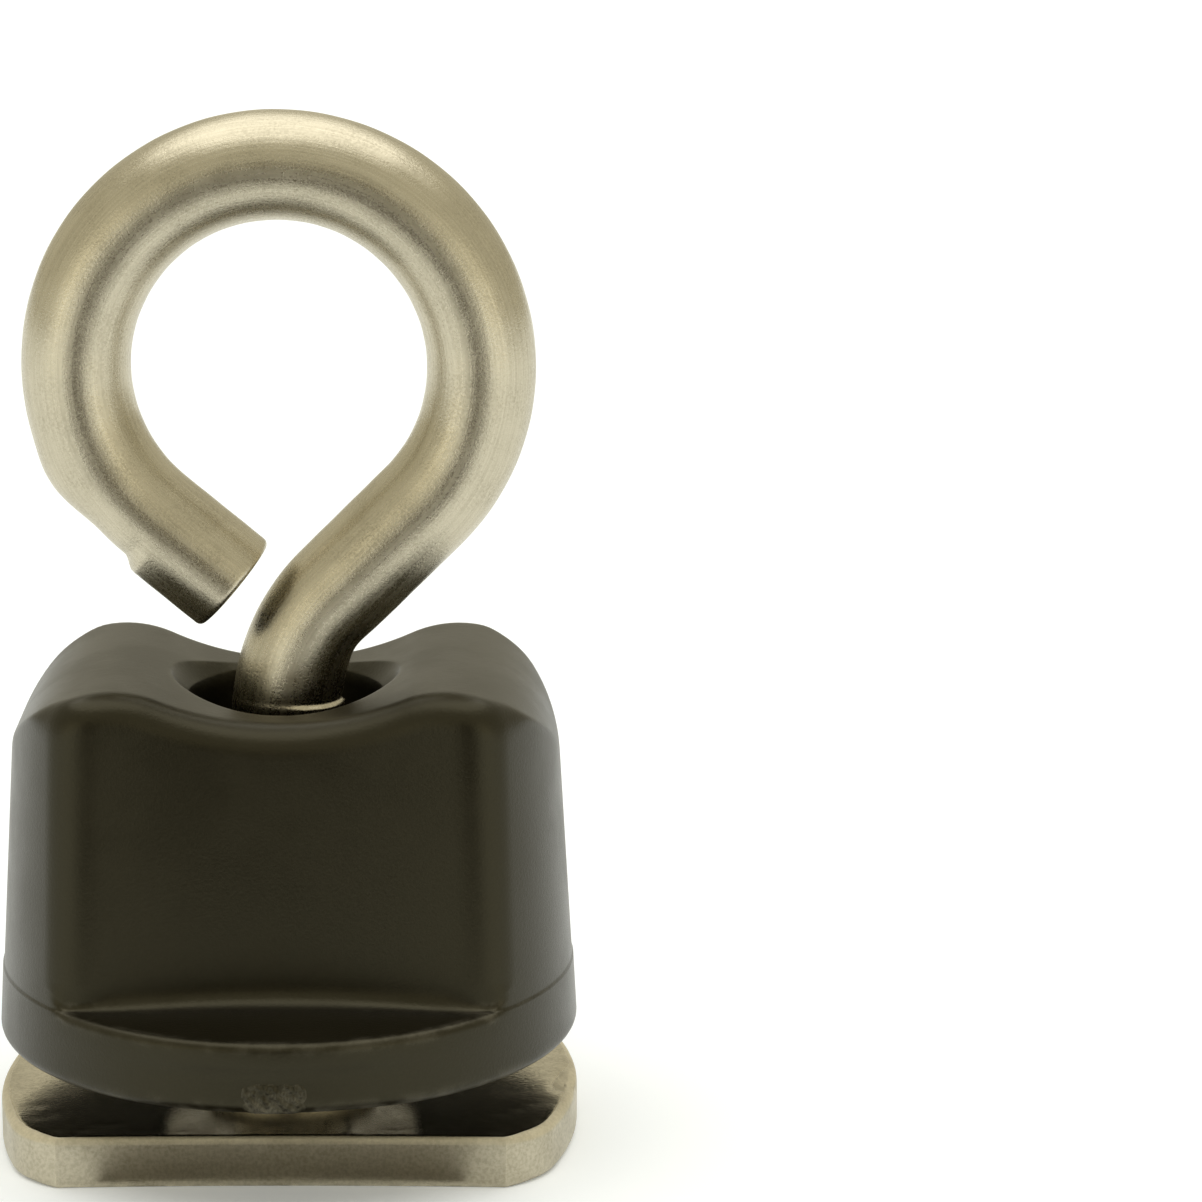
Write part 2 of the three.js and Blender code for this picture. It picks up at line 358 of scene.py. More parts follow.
def roll_thread(radius, height, around):
    """Rolls the thread into the shank; it runs out over its first turn."""
    turn = around / FULL_TURN
    crest = thread_height((height / THREAD_PITCH - turn + THREAD_START_TURN) % 1.0)
    full_depth = mix(THREAD_MINOR_RADIUS, THREAD_MAJOR_RADIUS, crest)
    first_depth = mix(ROD_RADIUS, THREAD_MAJOR_RADIUS, crest)
    below_top = THREAD_TOP + THREAD_PITCH * (turn - 1) - height
    past_faint = np.maximum(smooth_step(turn, *FAINT_THREAD_END), smooth_step(below_top, *SECOND_TURN))
    rolled = smooth_step(below_top, *CREST_RISE) * mix(FAINT_THREAD, 1.0, past_faint)
    threaded = mix(first_depth, full_depth, smooth_step(below_top, *ROOT_DEEPENS))
    foot = smooth_step(height, SHANK_FOOT, SHANK_FOOT + SHANK_FOOT_TAPER)
    threaded = mix(THREAD_MINOR_RADIUS, threaded, foot)
    return mix(radius, threaded, rolled)


def eye_bolt(material):
    """The bent rod: open eye, neck and threaded shank in one skin swept down its middle line."""
    places, along = refine_line(*rod_line())
    heading = np.gradient(places, along, axis=0)
    heading /= np.linalg.norm(heading, axis=1)[:, None]
    left = np.stack([-heading[:, 1], heading[:, 0]], axis=1)
    around = circle(ROD_SIDES)[None, :]
    radius = roll_thread(rod_radius(along[:, None], around), places[:, 1][:, None], around)
    across = np.cos(around) * radius
    depth = np.sin(around) * radius
    x = places[:, 0][:, None] + left[:, 0][:, None] * across
    z = places[:, 1][:, None] + left[:, 1][:, None] * across
    rings = np.stack([x, depth, z], axis=2)
    piece = skin("eye_rod", rings, False, material, (FULL_TURN * ROD_RADIUS, along))
    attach(piece, "base")
    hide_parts("eye_bolt")
    return piece


# ---- Track plate -----------------------------------------------------------------------------


PLATE_ROUNDING_CHANGES = (PLATE_CORNER_START - 0.1, PLATE_CORNER_START + 1.6)
EDGE_WEAR_HEIGHT = 1.5
EDGE_WEAR_REACH = (14.6, 15.4)
DENT_DEPTH = 0.025
BRUISE_Y = -1.5
BRUISE_SPREAD = 1.6
BRUISE_DEPTH = 0.28
BRUISE_UNEVENNESS = 0.12


def plate_quarter():
    """Outline points and their outward directions, from the middle of an end to mid side."""
    end_centre = PLATE_HALF_LENGTH - PLATE_END_RADIUS
    reach = PLATE_END_RADIUS - PLATE_CORNER_RADIUS

    def gap(turn):
        x = end_centre + reach * math.cos(turn) - PLATE_CORNER_START
        return math.hypot(x, reach * math.sin(turn) - PLATE_HALF_WIDTH) - PLATE_CORNER_RADIUS

    low, high = 0.0, math.atan2(PLATE_HALF_WIDTH, PLATE_CORNER_START - end_centre)
    for _ in range(40):
        middle = (low + high) / 2
        low, high = (middle, high) if gap(middle) > 0 else (low, middle)
    corner = (end_centre + reach * math.cos(low), reach * math.sin(low))
    corner_end = math.atan2(PLATE_HALF_WIDTH - corner[1], PLATE_CORNER_START - corner[0])
    points = arc_points((end_centre, 0), PLATE_END_RADIUS, 0, low, 20)[:-1]
    points += arc_points(corner, PLATE_CORNER_RADIUS, low, corner_end, 18)[:-1]
    for share in np.linspace(0, 1, 37):
        waist = PLATE_WAIST * (1 - (1 - share) ** 2)
        points.append((PLATE_CORNER_START * (1 - share), PLATE_HALF_WIDTH - waist))
    return np.array(points)


def plate_outline():
    """The whole outline, mirrored from its quarter."""
    quarter = plate_quarter()
    back_left = quarter[-2::-1] * [-1, 1]
    back = np.concatenate([quarter, back_left])
    front = back[-2:0:-1] * [1, -1]
    return np.concatenate([back, front])


def outline_normals(outline):
    """The outward direction at each point of the outline."""
    before = np.roll(outline, 1, axis=0)
    after = np.roll(outline, -1, axis=0)
    run = after - before
    normal = np.stack([run[:, 1], -run[:, 0]], axis=1)
    return normal / np.linalg.norm(normal, axis=1)[:, None]


def track_plate(material):
    """The stamped plate: rolled edge above, small edge below, and the hole that holds the shank."""
    outline = plate_outline()
    normal = outline_normals(outline)
    end_share = smooth_step(np.abs(outline[:, 0]), *PLATE_ROUNDING_CHANGES)
    top_round = mix(PLATE_SIDE_ROUNDING, PLATE_END_ROUNDING, end_share)
    bottom_round = mix(PLATE_FOOT_SIDE_ROUNDING, PLATE_FOOT_END_ROUNDING, end_share)
    hole_angles = np.arctan2(outline[:, 1], outline[:, 0])
    hole_radius = THREAD_MAJOR_RADIUS + PLATE_HOLE_CLEARANCE
    # Insets run towards the middle, lengthened so that the edge itself moves in by the whole inset.
    inward = outline / np.linalg.norm(outline, axis=1)[:, None]
    inward = inward / np.sum(inward * normal, axis=1)[:, None]

    def edge_ring(inset, height):
        flat = outline - inward * np.broadcast_to(inset, len(outline))[:, None]
        height = np.broadcast_to(height, len(outline))
        return np.column_stack([flat, height])

    def inner_ring(share, height, inset):
        flat = outline - inward * inset[:, None]
        hole = hole_radius * np.stack([np.cos(hole_angles), np.sin(hole_angles)], axis=1)
        return np.column_stack([mix(hole, flat, share), np.full(len(outline), height)])

    rings = [inner_ring(0, 0.3, bottom_round * 0), inner_ring(0.04, 0.0, bottom_round)]
    rings += [inner_ring(share, 0.0, bottom_round) for share in (0.2, 0.45, 0.7, 0.9)]
    for turn in np.linspace(0, math.pi / 2, 7):
        inset = bottom_round * (1 - math.sin(turn))
        rings.append(edge_ring(inset, bottom_round * (1 - math.cos(turn))))
    for share in np.linspace(0, 1, 10)[1:-1]:
        rings.append(edge_ring(0.0, mix(bottom_round, PLATE_TOP - top_round, share)))
    for turn in np.linspace(0, math.pi / 2, 11):
        inset = top_round * (1 - math.cos(turn))
        rings.append(edge_ring(inset, PLATE_TOP - top_round * (1 - math.sin(turn))))
    rings += [inner_ring(share, PLATE_TOP, top_round) for share in np.linspace(0.995, 0.1, 30)]
    rings += [inner_ring(0.02, PLATE_TOP, top_round), inner_ring(0, PLATE_TOP - 0.2, top_round)]
    rings = batter_plate(np.array(rings))
    piece = skin("rail_plate", rings, True, material, crease_over=CREASE_ANGLE)
    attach(piece, "base")
    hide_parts("track_plate")
    return piece


def batter_plate(rings):
    """Tumbling marks: the top edges are slightly uneven, and one end has a bruised edge."""
    x, y, z = rings[..., 0], rings[..., 1], rings[..., 2]
    near_top = smooth_step(z, PLATE_TOP - EDGE_WEAR_HEIGHT, PLATE_TOP)
    near_edge = smooth_step(np.hypot(x, y * 1.5), *EDGE_WEAR_REACH)
    dents = np.clip(wave_noise(x, y, SEED + 1, 4.0, 6), 0, 1) * DENT_DEPTH
    bruise = np.exp(-((x - PLATE_HALF_LENGTH) ** 2 + (y - BRUISE_Y) ** 2) / BRUISE_SPREAD)
    bruise = bruise * (BRUISE_DEPTH + BRUISE_UNEVENNESS * wave_noise(x, y, SEED + 2, 0.9, 5))
    worn = rings.copy()
    worn[..., 2] -= near_top * near_edge * (dents + bruise)
    return worn


# ---- Washer and insert -----------------------------------------------------------------------


WASHER_BORE_CLEARANCE = 0.15
WASHER_CHAMFER = 0.18
INSERT_CORNER_TRIM = 1.12
INSERT_BORE_CLEARANCE = 0.1
INSERT_BORE_CHAMFER = 0.5
INSERT_THREAD_DEPTH = 0.55
INSERT_THREAD_STEP = 0.16
INSERT_TOP_CHAMFER = 0.4


def chamfered_ring(inner, outer, bottom, top, chamfer):
    """The closed profile of a flat ring with all four edges broken."""
    return [
        (inner, bottom + chamfer), (inner + chamfer, bottom),
        (outer - chamfer, bottom), (outer, bottom + chamfer),
        (outer, top - chamfer), (outer - chamfer, top),
        (inner + chamfer, top), (inner, top - chamfer),
    ]


def held_profile(profile, hold=CORNER_HOLD):
    """The same closed profile with close pairs of points at its corners, which keep them crisp."""
    held = []
    count = len(profile)
    for index, point in enumerate(profile):
        point = np.array(point, float)
        for other in (profile[index - 1], profile[(index + 1) % count]):
            side = np.array(other, float) - point
            reach = min(hold, 0.3 * np.linalg.norm(side))
            held.append(tuple(point + side / np.linalg.norm(side) * reach))
    return held


def spacer_washer(material):
    """The thick loose ring that lies on the plate round the shank."""
    bore = THREAD_MAJOR_RADIUS + WASHER_BORE_CLEARANCE
    profile = chamfered_ring(bore, washer_high[0], washer_low[2], washer_high[2], WASHER_CHAMFER)
    piece = skin("slot_washer", turned_rings(held_profile(profile), circle(96)), True, material)
    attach(piece, "washer")
    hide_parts("spacer_washer")
    return piece


def knob_insert(material):
    """The hidden threaded insert: a hexagon on a round flange, with its thread cut inside."""
    angles = circle(144)
    sector = FULL_TURN / 6
    from_flat = (angles + sector / 2) % sector - sector / 2
    half_flats = INSERT_HEX_FLATS / 2
    hex_radius = np.minimum(half_flats / np.cos(from_flat), half_flats * INSERT_CORNER_TRIM)
    bottom = KNOB_BOTTOM
    flange_top = bottom + INSERT_FLANGE_HEIGHT
    bore = THREAD_MAJOR_RADIUS + INSERT_BORE_CLEARANCE
    outer_rings = [
        ring(bore + INSERT_BORE_CHAMFER, bottom, angles),
        ring(INSERT_FLANGE_RADIUS - 0.2, bottom, angles),
        ring(INSERT_FLANGE_RADIUS - 0.05, bottom + 0.1, angles),
        ring(INSERT_FLANGE_RADIUS, bottom + 0.25, angles),
        ring(INSERT_FLANGE_RADIUS, flange_top, angles),
        ring(hex_radius + 0.05, flange_top, angles),
        ring(hex_radius, flange_top + 0.05, angles),
        ring(hex_radius, INSERT_TOP - INSERT_TOP_CHAMFER, angles),
        ring(hex_radius - 0.35, INSERT_TOP, angles),
        ring(bore + INSERT_BORE_CHAMFER, INSERT_TOP, angles),
    ]
    bore_rings = []
    turn = angles / FULL_TURN
    thread_top = INSERT_TOP - INSERT_TOP_CHAMFER
    for height in np.arange(thread_top, bottom + INSERT_TOP_CHAMFER, -INSERT_THREAD_STEP):
        crest = thread_height((height / THREAD_PITCH - turn + THREAD_START_TURN) % 1.0)
        bore_rings.append(ring(mix(bore - INSERT_THREAD_DEPTH, bore, crest), height, angles))
    piece = skin("threaded_insert", outer_rings + bore_rings, True, material)
    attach(piece, "knob")
    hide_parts("knob_insert")
    return piece


# ---- Knob ------------------------------------------------------------------------------------

KNOB_SIDES = 320
UPPER_ROWS = 110
KNOB_HEART_Z = 15.0
SIDE_TAPER = (SKIRT_TOP_RADIUS - SIDE_TOP_RADIUS) / (SIDE_TOP - LEDGE_Z)
SCOOP_LEAN = (SCOOP_LEDGE_DEPTH - SCOOP_TOP_DEPTH) / (SADDLE_Z - LEDGE_Z)
SADDLE_SQUARES = SADDLE_RISE ** 2 + HORN_X ** 2 - SHOULDER_RADIUS ** 2
SADDLE_RADIUS = SADDLE_SQUARES / (2 * (SHOULDER_RADIUS - SADDLE_RISE))
POCKET_CLEARANCE = 0.02
POCKET_HEADROOM = 0.3
POCKET_SHOULDER_Z = 11.0
UNDERSIDE_RINGS = (7.6, 9.5, 11.5, 13.5)


def round_corner(a, b, radius):
    """Joins two distances where their surfaces cross, with an outside corner of that radius."""
    over_a = np.maximum(a + radius, 0)
    over_b = np.maximum(b + radius, 0)
    return np.minimum(np.maximum(a, b), -radius) + np.hypot(over_a, over_b)


def soft_corner(a, b, width):
    """Joins two distances with a corner that is blended over that width, which may vary."""
    close = np.maximum(width - np.abs(a - b), 0) / width
    return np.maximum(a, b) + close ** 2 * width / 4


def top_distance(x, z):
    """Distance above the top: a hollow saddle that rolls over into two round shoulders."""
    x = np.abs(x)
    saddle_centre = SADDLE_Z + SADDLE_RADIUS
    saddle = SADDLE_RADIUS - np.hypot(x, saddle_centre - z)
    out = x - HORN_X
    up = z - SIDE_TOP
    arc = np.hypot(out, up) - SHOULDER_RADIUS
    side = out * math.cos(SHOULDER_START) + up * math.sin(SHOULDER_START) - SHOULDER_RADIUS
    shoulder = np.where(up > out * math.tan(SHOULDER_START), arc, side)
    past_meeting = x * (saddle_centre - SIDE_TOP) - HORN_X * (saddle_centre - z)
    return np.where(past_meeting < 0, saddle, shoulder)


def top_height(x):
    """Height of the hollow saddle across the knob."""
    return SADDLE_Z + SADDLE_RADIUS - np.sqrt(SADDLE_RADIUS ** 2 - x ** 2)


def knob_distance(x, y, z):
    """Distance outside the knob's upper body, without its bore."""
    side = np.hypot(x, y) - (SKIRT_TOP_RADIUS - SKIRT_STEP) + SIDE_TAPER * (z - LEDGE_Z)
    face_depth = SCOOP_LEDGE_DEPTH - SCOOP_LEAN * (z - LEDGE_Z)
    face = SCOOP_RADIUS - np.hypot(x, face_depth + SCOOP_RADIUS - np.abs(y))
    lip = round_corner(face, top_distance(x, z), LIP_RADIUS)
    corner_width = mix(0.1, 1.6, smooth_step(face, -4.0, -0.5))
    return soft_corner(side, lip, corner_width)


def cast(angles, rise):
    """Where rays from the knob's heart leave its upper body; rise is each ray's slope angle."""
    flat = np.cos(rise)
    aim = np.stack([np.cos(angles) * flat, np.sin(angles) * flat, np.sin(rise)], axis=-1)
    near = np.zeros(angles.shape)
    far = np.full(angles.shape, 26.0)
    for _ in range(34):
        middle = (near + far) / 2
        spot = aim * middle[..., None]
        outside = knob_distance(spot[..., 0], spot[..., 1], spot[..., 2] + KNOB_HEART_Z) > 0
        far = np.where(outside, middle, far)
        near = np.where(outside, near, middle)
    spot = aim * near[..., None]
    spot[..., 2] += KNOB_HEART_Z
    return spot


def foot_radius(angles, height):
    """Radius of the upper body at one height, for each direction."""
    near = np.zeros(angles.shape)
    far = np.full(angles.shape, 20.0)
    for _ in range(34):
        middle = (near + far) / 2
        outside = knob_distance(middle * np.cos(angles), middle * np.sin(angles), height) > 0
        far = np.where(outside, middle, far)
        near = np.where(outside, near, middle)
    return near


def ledge_rings(angles):
    """From the skirt's outside, over the ledge's rounded edge and in to the foot of the face."""
    foot_z = LEDGE_Z + LEDGE_FOOT_ROUNDING
    foot = foot_radius(angles, foot_z)
    width = SKIRT_TOP_RADIUS - foot
    present = smooth_step(width, 0.1, 0.7)
    edge = np.minimum(LEDGE_EDGE_ROUNDING, 0.45 * width)
    fillet = np.minimum(LEDGE_FOOT_ROUNDING, 0.45 * width)
    rows = []
    steps = 8
    total = 2 * steps + 3

    def place(radius, height):
        share = len(rows) / (total - 1)
        plain_z = mix(LEDGE_Z - LEDGE_EDGE_ROUNDING, foot_z, share)
        step = smooth_step(plain_z, LEDGE_Z - 0.05, LEDGE_Z + 0.05) * SKIRT_STEP
        plain_r = SKIRT_TOP_RADIUS - step - SIDE_TAPER * (plain_z - LEDGE_Z)
        rows.append(ring(mix(plain_r, radius, present), mix(plain_z, height, present), angles))

    for turn in np.linspace(0, math.pi / 2, steps):
        height = LEDGE_Z - edge * (1 - math.sin(turn))
        place(SKIRT_TOP_RADIUS - edge * (1 - math.cos(turn)), height)
    for share in (0.25, 0.5, 0.75):
        place(mix(SKIRT_TOP_RADIUS - edge, foot + fillet, share), np.full(angles.shape, LEDGE_Z))
    for turn in np.linspace(0, math.pi / 2, steps):
        place(foot + fillet * (1 - math.sin(turn)), LEDGE_Z + fillet * (1 - math.cos(turn)))
    return rows, foot_z


def sink_rim(angles):
    """Where the bore's countersink meets the hollow top: its radius and height in each direction."""
    rim = np.full(angles.shape, BORE_RADIUS)
    for _ in range(30):
        rim = BORE_RADIUS + 0.1 + (top_height(rim * np.cos(angles)) - SINK_Z) / SINK_SLOPE
    return rim, top_height(rim * np.cos(angles)) - 0.02


def skirt_wall(angles, height):
    """Radius of the skirt's tapered wall; it is flattened a little round the moulding gate."""
    wall = mix(SKIRT_RADIUS, SKIRT_TOP_RADIUS, (height - KNOB_BOTTOM) / SKIRT_HEIGHT)
    facing_gate = smooth_step(-np.sin(angles), 0.85, 0.985)
    low_down = 1 - smooth_step(height, LEDGE_Z - 1.9, LEDGE_Z - 0.9)
    return wall - GATE_STUB_HEIGHT * facing_gate * low_down


def knob_body(material):
    """The moulded knob in one skin: pocket, underside, skirt, ledge, upper body and bore."""
    angles = circle(KNOB_SIDES)
    pocket = INSERT_FLANGE_RADIUS + POCKET_CLEARANCE
    pocket_top = INSERT_TOP + POCKET_HEADROOM
    pocket_heights = (pocket_top, POCKET_SHOULDER_Z, KNOB_BOTTOM + 0.4)
    rings = [ring(pocket, height, angles) for height in pocket_heights]
    rings.append(ring(pocket + 0.2, KNOB_BOTTOM + 0.02, angles))
    rings += [ring(radius, KNOB_BOTTOM, angles) for radius in UNDERSIDE_RINGS]
    foot_centre = (SKIRT_FOOT_ROUNDING, SKIRT_FOOT_ROUNDING)
    for inset, rise in arc_points(foot_centre, SKIRT_FOOT_ROUNDING, math.pi * 1.5, math.pi, 8):
        rings.append(ring(skirt_wall(angles, KNOB_BOTTOM + rise) - inset, KNOB_BOTTOM + rise, angles))
    skirt_start = KNOB_BOTTOM + SKIRT_FOOT_ROUNDING
    for share in np.linspace(0, 1, 9)[1:-1]:
        height = mix(skirt_start, LEDGE_Z - 0.75, share)
        rings.append(ring(skirt_wall(angles, height), height, angles))
    ledge, foot_z = ledge_rings(angles)
    rings += ledge
    foot = foot_radius(angles, np.full(angles.shape, foot_z))
    rim, rim_z = sink_rim(angles)
    low_rise = np.arctan2(foot_z - KNOB_HEART_Z, foot)
    high_rise = np.arctan2(rim_z - KNOB_HEART_Z, rim + 0.05)
    for share in np.linspace(0, 1, UPPER_ROWS)[1:]:
        rings.append(cast(angles, mix(low_rise, high_rise, share)))
    for share in (0.0, 0.06, 0.3, 0.6, 0.9, 1.0):
        rings.append(ring(mix(rim, BORE_RADIUS + 0.04, share), mix(rim_z, SINK_Z + 0.04, share), angles))
    for height in np.linspace(SINK_Z - 0.04, pocket_top, 9):
        rings.append(ring(BORE_RADIUS, height, angles))
    piece = skin("knob_shell", rings, True, material)
    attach(piece, "knob")
    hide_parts("knob_body")
    return piece


def gate_stub(material):
    """The broken-off moulding gate on the front of the skirt: a small lumpy patch."""
    low, high = (KNOB_BOTTOM + height for height in GATE_STUB_RANGE)
    columns, rows = 44, 26
    rings = []
    for row in range(rows):
        up = row / (rows - 1)
        height = mix(low, high, up)
        front = []
        back = []
        for column in range(columns):
            side = column / (columns - 1) * 2 - 1
            spread = math.sqrt(max(0.0, 1 - (2 * up - 1) ** 4))
            x = side * GATE_STUB_HALF_WIDTH * mix(0.55, 1.0, spread)
            skirt = float(skirt_wall(np.array(-math.pi / 2 + x / SKIRT_RADIUS), height))
            plane = -math.sqrt(skirt ** 2 - x ** 2)
            border = (1 - side ** 6) * (1 - (2 * up - 1) ** 6)
            rough = wave_noise(x, height, SEED + 4, 1.1, 5)
            lump = border * (0.3 + 0.7 * smooth_step(rough, -0.1, 0.3))
            front.append((x, plane + 0.03 - (GATE_STUB_HEIGHT + 0.02) * min(max(lump, 0), 1), height))
            back.append((x, plane + 0.3, height))
        rings.append(front + back[::-1])
    piece = skin("gate_stub", rings, False, material)
    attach(piece, "knob")
    return piece


# ---- Node helpers ----------------------------------------------------------------------------


class Graph:
    """A thin wrapper that places nodes and joins their sockets."""

    def __init__(self, tree):
        self.tree = tree

    def node(self, kind, **settings):
        made = self.tree.nodes.new(kind)
        for key, value in settings.items():
            setattr(made, key, value)
        return made

    def link(self, source, target):
        self.tree.links.new(source, target)

    def fill(self, socket, value):
        if isinstance(value, bpy.types.NodeSocket):
            self.link(value, socket)
        elif value is not None:
            socket.default_value = value

    def math(self, operation, a, b=None, clamp=False):
        made = self.node("ShaderNodeMath", operation=operation, use_clamp=clamp)
        self.fill(made.inputs[0], a)
        self.fill(made.inputs[1], b)
        return made.outputs[0]

    def mix_colour(self, share, a, b):
        made = self.node("ShaderNodeMix", data_type="RGBA", blend_type="MIX")
        self.fill(made.inputs["Factor"], share)
        self.fill(made.inputs[6], a)
        self.fill(made.inputs[7], b)
        return made.outputs[2]

    def noise(self, vector, scale, detail=3.0, roughness=0.55):
        made = self.node("ShaderNodeTexNoise")
        self.fill(made.inputs["Vector"], vector)
        self.fill(made.inputs["Scale"], scale)
        self.fill(made.inputs["Detail"], detail)
        self.fill(made.inputs["Roughness"], roughness)
        return made.outputs["Fac"]

    def remap(self, value, low, high, to_low=0.0, to_high=1.0):
        made = self.node("ShaderNodeMapRange", interpolation_type="SMOOTHSTEP")
        self.fill(made.inputs["Value"], value)
        self.fill(made.inputs["From Min"], low)
        self.fill(made.inputs["From Max"], high)
        self.fill(made.inputs["To Min"], to_low)
        self.fill(made.inputs["To Max"], to_high)
        return made.outputs["Result"]

    def scaled(self, vector, scale):
        made = self.node("ShaderNodeMapping")
        self.fill(made.inputs["Vector"], vector)
        made.inputs["Scale"].default_value = scale
        return made.outputs["Vector"]


def start_group(name, inputs, outputs):
    """A node group with named sockets; returns its tree wrapper, input node and output node."""
    tree = bpy.data.node_groups.new(name, "ShaderNodeTree")
    for label, kind, value in inputs:
        socket = tree.interface.new_socket(label, in_out="INPUT", socket_type=kind)
        if value is not None:
            socket.default_value = value
    for label, kind in outputs:
        tree.interface.new_socket(label, in_out="OUTPUT", socket_type=kind)
    graph = Graph(tree)
    return graph, graph.node("NodeGroupInput"), graph.node("NodeGroupOutput")


def surface_grain_group():
    """Fine grain and broad blotches over a surface, in the part's own metres."""
    graph, source, result = start_group(
        "surface grain",
        [
            ("Vector", "NodeSocketVector", None),
            ("Grain Size", "NodeSocketFloat", 0.0003),
            ("Blotch Size", "NodeSocketFloat", 0.004),
        ],
        [("Grain", "NodeSocketFloat"), ("Blotches", "NodeSocketFloat")],
    )
    grain_scale = graph.math("DIVIDE", 1.0, source.outputs["Grain Size"])
    blotch_scale = graph.math("DIVIDE", 1.0, source.outputs["Blotch Size"])
    graph.link(graph.noise(source.outputs["Vector"], grain_scale, 4.0, 0.65), result.inputs["Grain"])
    graph.link(graph.noise(source.outputs["Vector"], blotch_scale, 4.0, 0.6), result.inputs["Blotches"])
    return graph.tree


def edge_wear_and_highlight_group():
    """A mask that is bright on rubbed outside edges, broken up by noise; on the knob it also serves as a
    painted highlight.
    """
    graph, source, result = start_group(
        "edge wear and highlight",
        [
            ("Vector", "NodeSocketVector", None),
            ("Reach", "NodeSocketFloat", 0.0004),
            ("Break Up Size", "NodeSocketFloat", 0.001),
        ],
        [("Mask", "NodeSocketFloat")],
    )
    bevel = graph.node("ShaderNodeBevel", samples=4)
    graph.link(source.outputs["Reach"], bevel.inputs["Radius"])
    geometry = graph.node("ShaderNodeNewGeometry")
    turn = graph.node("ShaderNodeVectorMath", operation="DOT_PRODUCT")
    graph.link(bevel.outputs["Normal"], turn.inputs[0])
    graph.link(geometry.outputs["Normal"], turn.inputs[1])
    edge = graph.remap(turn.outputs["Value"], 0.995, 0.9)
    break_scale = graph.math("DIVIDE", 1.0, source.outputs["Break Up Size"])
    broken = graph.remap(graph.noise(source.outputs["Vector"], break_scale, 4.0), 0.4, 0.62)
    graph.link(graph.math("MULTIPLY", edge, broken), result.inputs["Mask"])
    return graph.tree


def place_group(graph, tree, **values):
    """Puts a node group into a material and fills its inputs; _ stands for a space in a label."""
    made = graph.node("ShaderNodeGroup")
    made.node_tree = tree
    for label, value in values.items():
        graph.fill(made.inputs[label.replace("_", " ")], value)
    return made


def start_material(name):
    """An empty material with its shader, and coordinates in the part's own metres."""
    material = bpy.data.materials.new(name)
    material.use_nodes = True
    graph = Graph(material.node_tree)
    graph.tree.nodes.clear()
    shader = graph.node("ShaderNodeBsdfPrincipled")
    output = graph.node("ShaderNodeOutputMaterial")
    graph.link(shader.outputs["BSDF"], output.inputs["Surface"])
    place = graph.node("ShaderNodeTexCoord").outputs["Object"]
    return material, graph, shader, place


def bump(graph, height, strength, distance, normal=None):
    """A bumped normal, laid over another one where that is given."""
    made = graph.node("ShaderNodeBump")
    made.inputs["Strength"].default_value = strength
    made.inputs["Distance"].default_value = distance
    graph.link(height, made.inputs["Height"])
    if normal is not None:
        graph.link(normal, made.inputs["Normal"])
    return made.outputs["Normal"]


# ---- Materials -------------------------------------------------------------------------------

STEEL_LIGHT = (0.56, 0.515, 0.40, 1)
STEEL_DARK = (0.28, 0.25, 0.178, 1)
INSERT_LIGHT = (0.20, 0.18, 0.14, 1)
INSERT_DARK = (0.10, 0.09, 0.07, 1)
# Light steel colour for rubbed wear and for the painted highlight along the plate's top edge.
RUBBED_AND_HIGHLIT_STEEL = (0.85, 0.79, 0.62, 1)
PLASTIC_DARK = (0.005, 0.0042, 0.0022, 1)
PLASTIC_LIGHT = (0.010, 0.0085, 0.005, 1)
# Light plastic colour for rubbed wear on the knob's edges, also used as a painted highlight there.
RUBBED_AND_HIGHLIT_PLASTIC = (0.13, 0.12, 0.095, 1)
PLASTIC_SHEEN = (1.0, 0.92, 0.62, 1)
FLAG_COLOUR = (0.05, 0.036, 0.014, 1)


def drawn_steel(grain_tree):
    """Tumbled stainless rod: draw lines run its whole length, over a mottled dull surface."""
    material, graph, shader, place = start_material("drawn steel")
    rod = graph.node("ShaderNodeUVMap", uv_map="rod").outputs["UV"]
    grain = place_group(graph, grain_tree, Vector=place, Grain_Size=0.00014, Blotch_Size=0.003)
    round_rod = graph.node("ShaderNodeTangent", direction_type="UV_MAP", uv_map="rod")
    graph.link(round_rod.outputs["Tangent"], shader.inputs["Tangent"])
    shader.inputs["Anisotropic"].default_value = 0.5
    lines = graph.noise(graph.scaled(rod, (9.0, 0.12, 1.0)), 1.0, 5.0, 0.7)
    broad_lines = graph.noise(graph.scaled(rod, (2.2, 0.05, 1.0)), 1.0, 3.0, 0.6)
    mottle = graph.remap(grain.outputs["Blotches"], 0.38, 0.66)
    speckle = graph.remap(grain.outputs["Grain"], 0.35, 0.7)
    stained = graph.math("MULTIPLY", mottle, speckle)
    streaks = graph.remap(lines, 0.35, 0.65)
    share = graph.math("ADD", graph.math("MULTIPLY", stained, 0.4), graph.math("MULTIPLY", streaks, 0.28))
    colour = graph.mix_colour(share, STEEL_LIGHT, STEEL_DARK)
    graph.link(colour, shader.inputs["Base Color"])
    base_rough = graph.remap(broad_lines, 0.3, 0.7, 0.2, 0.28)
    rough = graph.math("ADD", base_rough, graph.math("MULTIPLY", speckle, 0.08))
    graph.link(rough, shader.inputs["Roughness"])
    shader.inputs["Metallic"].default_value = 1.0
    fine = bump(graph, grain.outputs["Grain"], 0.8, 0.000018)
    graph.link(bump(graph, lines, 0.3, 0.00003, fine), shader.inputs["Normal"])
    return material


